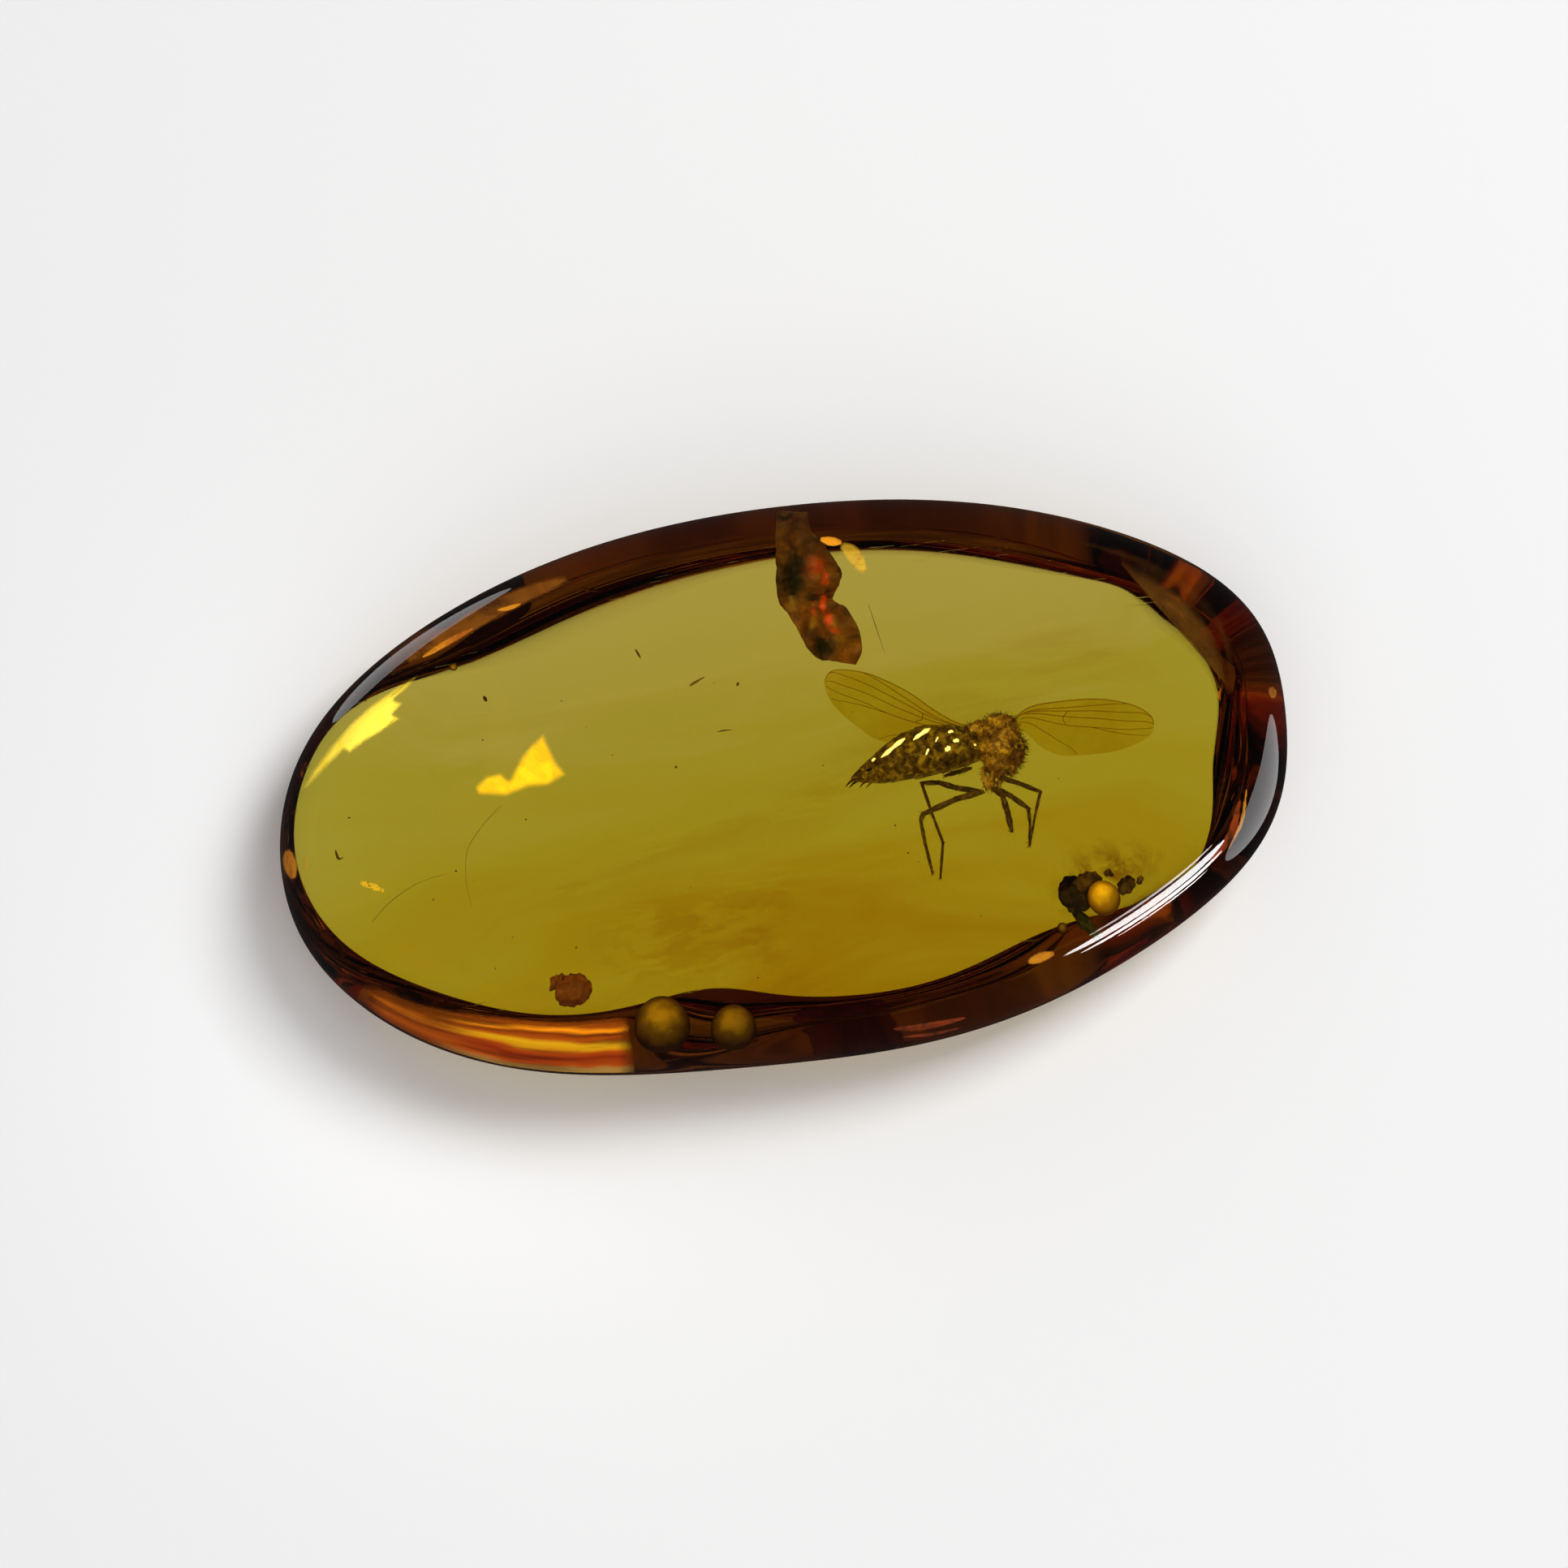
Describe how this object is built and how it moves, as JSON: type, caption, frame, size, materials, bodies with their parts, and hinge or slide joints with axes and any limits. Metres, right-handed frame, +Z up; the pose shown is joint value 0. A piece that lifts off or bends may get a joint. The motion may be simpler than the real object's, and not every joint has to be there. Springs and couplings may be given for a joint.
{
  "type": "insect in amber",
  "caption": "Polished oval piece of clear fossil amber with a low domed face and a flat back, holding a small fly.",
  "frame": {"origin": "middle of the flat ground back, which the stone lies on", "axes": "+X along the stone's length, towards the end nearer the insect; +Y across its width; +Z up, out of the domed face"},
  "size_m": [0.03, 0.0164, 0.008],
  "materials": {
    "amber": "polished clear honey amber, tinted by its depth"
  },
  "bodies": {
    "root": {"amber": "amber"}
  },
  "joints": []
}
